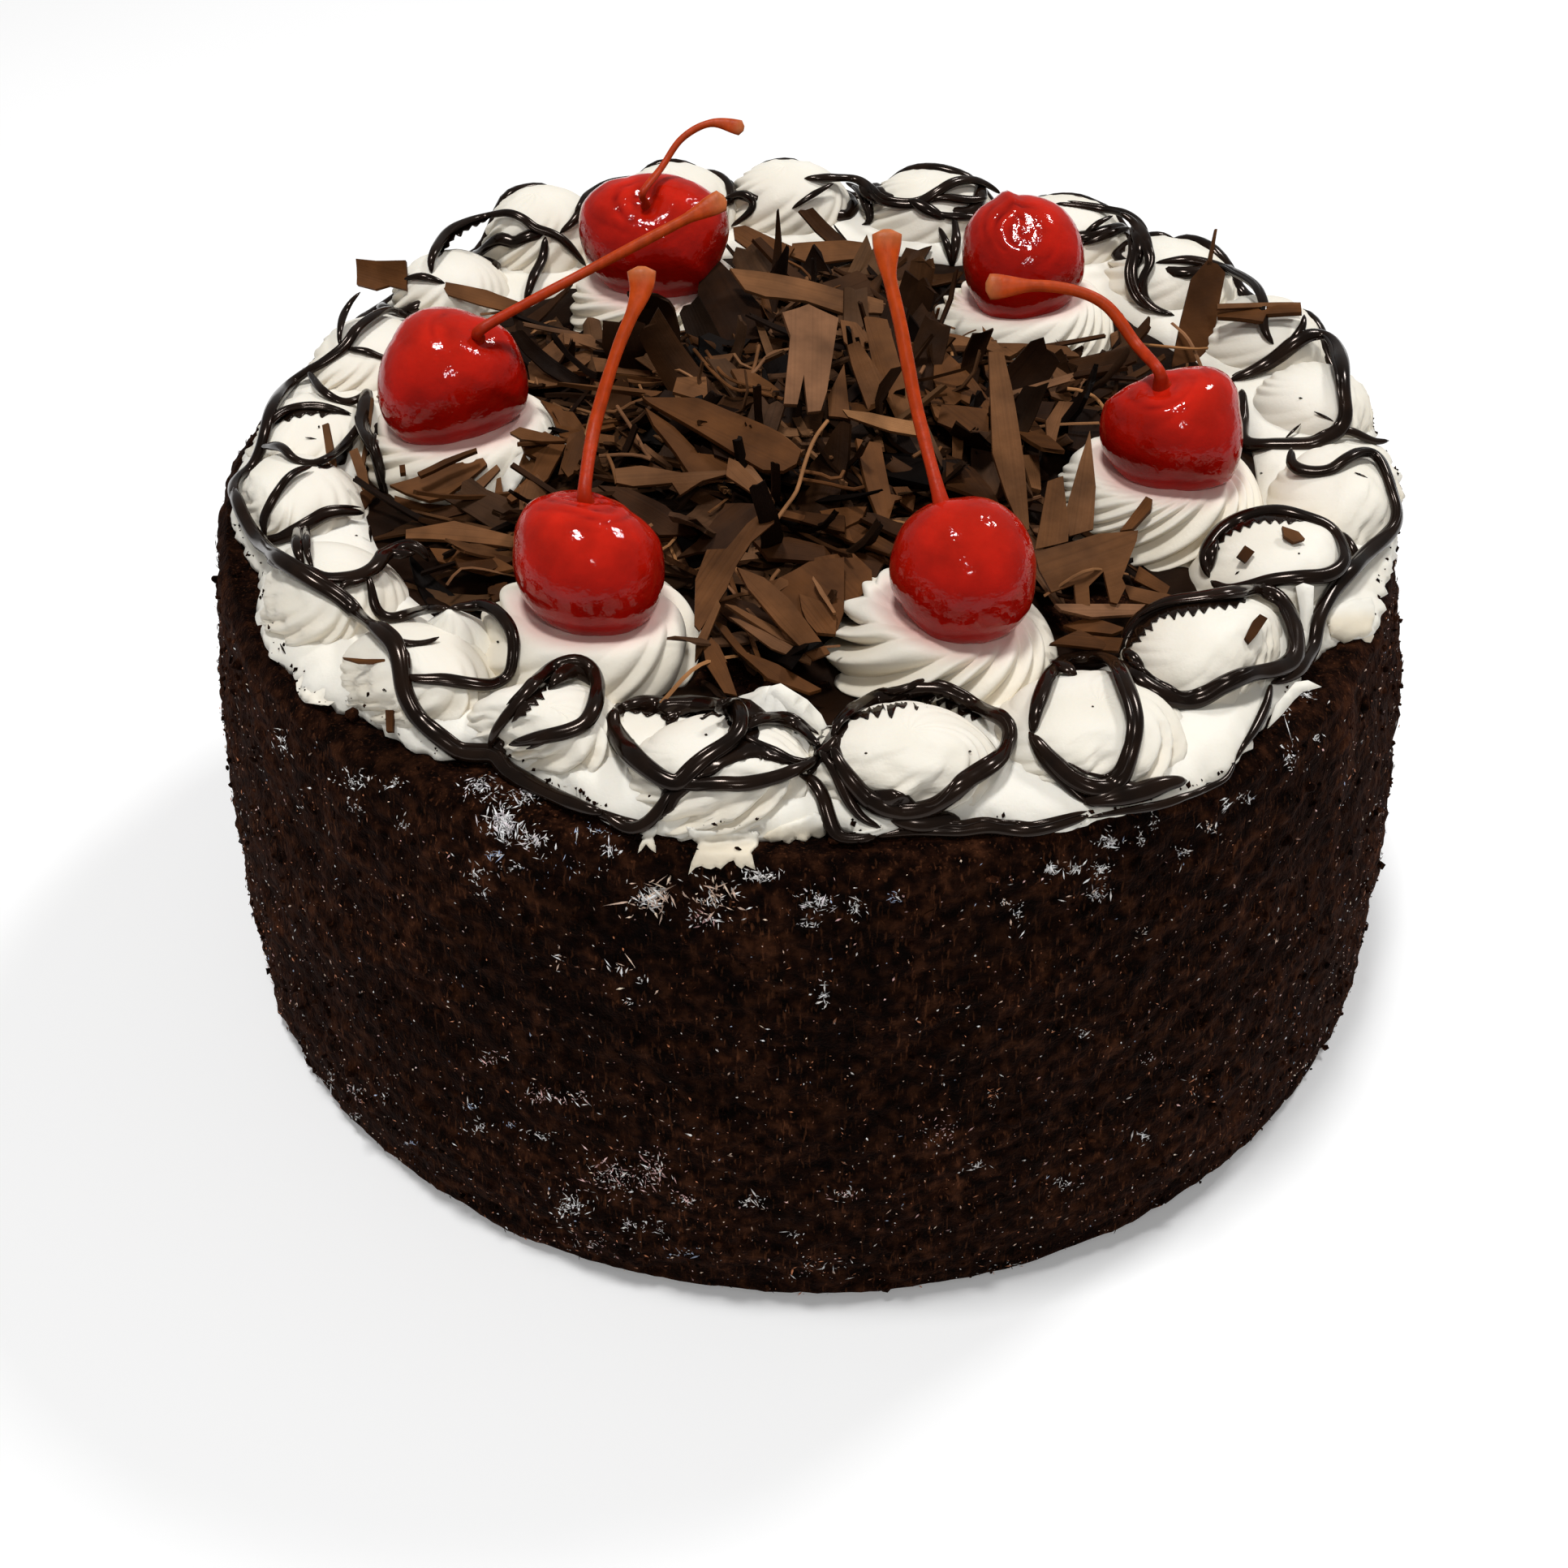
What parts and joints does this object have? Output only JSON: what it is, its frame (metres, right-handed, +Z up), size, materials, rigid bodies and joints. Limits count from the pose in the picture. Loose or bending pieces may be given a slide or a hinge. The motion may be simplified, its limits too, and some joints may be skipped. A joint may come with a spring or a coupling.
{
  "type": "black forest cake",
  "caption": "Whole round chocolate cake with a crumb-coated side, a border of piped cream laced with chocolate drizzle, cherries on cream rosettes and a heap of chocolate shavings.",
  "frame": {"origin": "centre of the cake's flat base, on the surface it stands on", "axes": "+Z up through the middle of the cake, the front of the cake towards -Y"},
  "size_m": [0.214, 0.2141, 0.1431],
  "materials": {
    "crumb": "rough dark chocolate crumb",
    "cream": "soft off-white whipped cream",
    "drizzle": "glossy near-black chocolate sauce, on the cream border",
    "cherry": "glossy translucent red cherry",
    "stem": "orange-red cherry stalk",
    "shavings": "matt milk and dark chocolate"
  },
  "bodies": {
    "root": {"cake": "crumb", "cream_border": "cream", "shavings": "shavings", "chocolate_blade": "shavings", "rosette_1": "cream", "cherry_1": "cherry", "stem_1": "stem", "rosette_2": "cream", "cherry_2": "cherry", "stem_2": "stem", "rosette_3": "cream", "cherry_3": "cherry", "stem_3": "stem", "rosette_4": "cream", "cherry_4": "cherry", "stem_4": "stem", "rosette_5": "cream", "cherry_5": "cherry", "rosette_6": "cream", "cherry_6": "cherry", "stem_6": "stem"}
  },
  "joints": []
}
